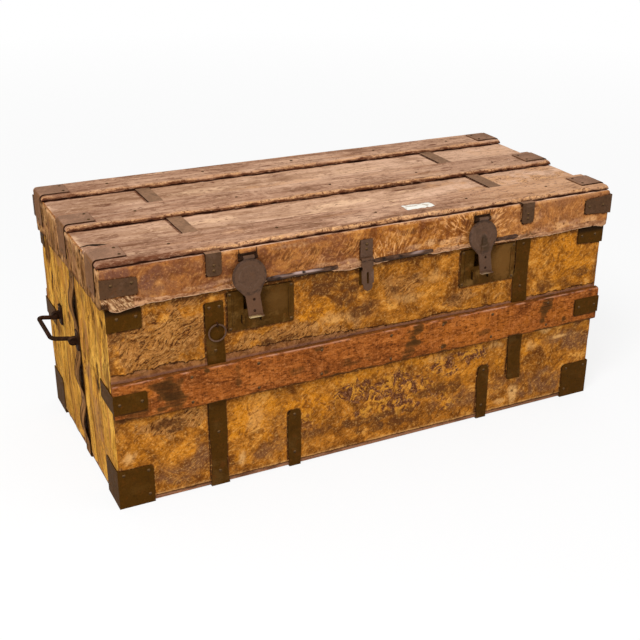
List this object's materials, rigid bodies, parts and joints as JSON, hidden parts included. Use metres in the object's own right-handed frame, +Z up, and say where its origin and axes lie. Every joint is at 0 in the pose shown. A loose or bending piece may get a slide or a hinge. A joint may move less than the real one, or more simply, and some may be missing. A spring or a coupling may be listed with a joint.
{
  "type": "trunk",
  "caption": "Flat-topped hide-covered travelling trunk with wooden slats, iron bindings, a hinged lid, lock hasps with sliding bolts, a slotted hasp, bail handles and a pull ring.",
  "frame": {"origin": "centre of the outline from above, on the surface that the trunk stands on", "axes": "+X along the trunk's length to the viewer's right, +Y towards the hinged back, +Z up"},
  "size_m": [0.976, 0.4305, 0.4046],
  "materials": {
    "boards": "bare, dull",
    "slats": "worn, dull",
    "hide": "aged hide, mottled and cracked",
    "irons": "dark, lightly rusted",
    "hasps": "worn, smooth",
    "label": "torn blank paper"
  },
  "bodies": {
    "case": {"back_board": "boards", "bottom_board": "boards", "bottom_corner_caps": "irons", "case_corner_plates": "irons", "case_hide": "hide", "case_nails": "irons", "case_slat_clamps": "irons", "front_board": "boards", "front_slat": "slats", "handle_eyes_left": "irons", "handle_eyes_right": "irons", "hasp_keeper": "irons", "hinge_body_leaves": "irons", "hinge_pins": "irons", "left_board": "boards", "left_side_strap": "irons", "left_strap": "irons", "lock_case_left": "irons", "lock_case_right": "irons", "lock_plate_left": "irons", "lock_plate_right": "irons", "rear_slat": "slats", "right_board": "boards", "right_side_strap": "irons", "right_strap_front": "irons", "right_strap_rear": "irons", "ring_staple": "irons", "short_straps": "irons"},
    "lid": {"centre_hasp_upper": "hasps", "hasp_bracket_left": "irons", "hasp_bracket_right": "irons", "hasp_pins": "irons", "hinge_lid_leaves": "irons", "lid_back_board": "boards", "lid_corner_plates": "irons", "lid_edging": "irons", "lid_front_board": "boards", "lid_hide": "hide", "lid_left_board": "boards", "lid_nails": "irons", "lid_right_board": "boards", "lid_slat_clamps": "irons", "lid_slat_front": "slats", "lid_slat_middle": "slats", "lid_slat_rear": "slats", "lid_strap_left": "irons", "lid_strap_right": "irons", "lid_top_board": "boards", "paper_label": "label"},
    "left_hasp": {"hasp_left": "hasps", "hasp_staple_left": "hasps"},
    "right_hasp": {"hasp_right": "hasps", "hasp_staple_right": "hasps"},
    "centre_hasp": {"centre_hasp_lower": "hasps"},
    "left_handle": {"handle_left": "irons"},
    "right_handle": {"handle_right": "irons"},
    "ring": {"pull_ring": "irons"},
    "left_bolt": {"lock_bolt_left": "irons"},
    "right_bolt": {"lock_bolt_right": "irons"}
  },
  "joints": [
    {"name": "lid_hinge", "type": "hinge", "parent": "case", "child": "lid", "pos_m": [0, 0.20695, 0.341], "axis": [-1, 0, 0], "range_deg": [0, 105]},
    {"name": "left_hasp_hinge", "type": "hinge", "parent": "lid", "child": "left_hasp", "pos_m": [-0.2292, -0.20215, 0.382], "axis": [-1, 0, 0], "range_deg": [-8, 165]},
    {"name": "right_hasp_hinge", "type": "hinge", "parent": "lid", "child": "right_hasp", "pos_m": [0.182, -0.20215, 0.382], "axis": [-1, 0, 0], "range_deg": [-8, 165]},
    {"name": "centre_hasp_hinge", "type": "hinge", "parent": "lid", "child": "centre_hasp", "pos_m": [-0.0306, -0.20165, 0.346], "axis": [-1, 0, 0], "range_deg": [-13, 165]},
    {"name": "left_handle_hinge", "type": "hinge", "parent": "case", "child": "left_handle", "pos_m": [-0.454, 0.04565, 0.20903], "axis": [0, 1, 0], "range_deg": [-100, 80]},
    {"name": "right_handle_hinge", "type": "hinge", "parent": "case", "child": "right_handle", "pos_m": [0.454, 0.04565, 0.20903], "axis": [0, -1, 0], "range_deg": [-100, 80]},
    {"name": "ring_hinge", "type": "hinge", "parent": "case", "child": "ring", "pos_m": [-0.2787, -0.19475, 0.28], "axis": [-1, 0, 0], "range_deg": [0, 170]},
    {"name": "left_bolt_slide", "type": "slide", "parent": "case", "child": "left_bolt", "axis": [-1, 0, 0], "range_m": [0, 0.012]},
    {"name": "right_bolt_slide", "type": "slide", "parent": "case", "child": "right_bolt", "axis": [-1, 0, 0], "range_m": [0, 0.012]}
  ]
}
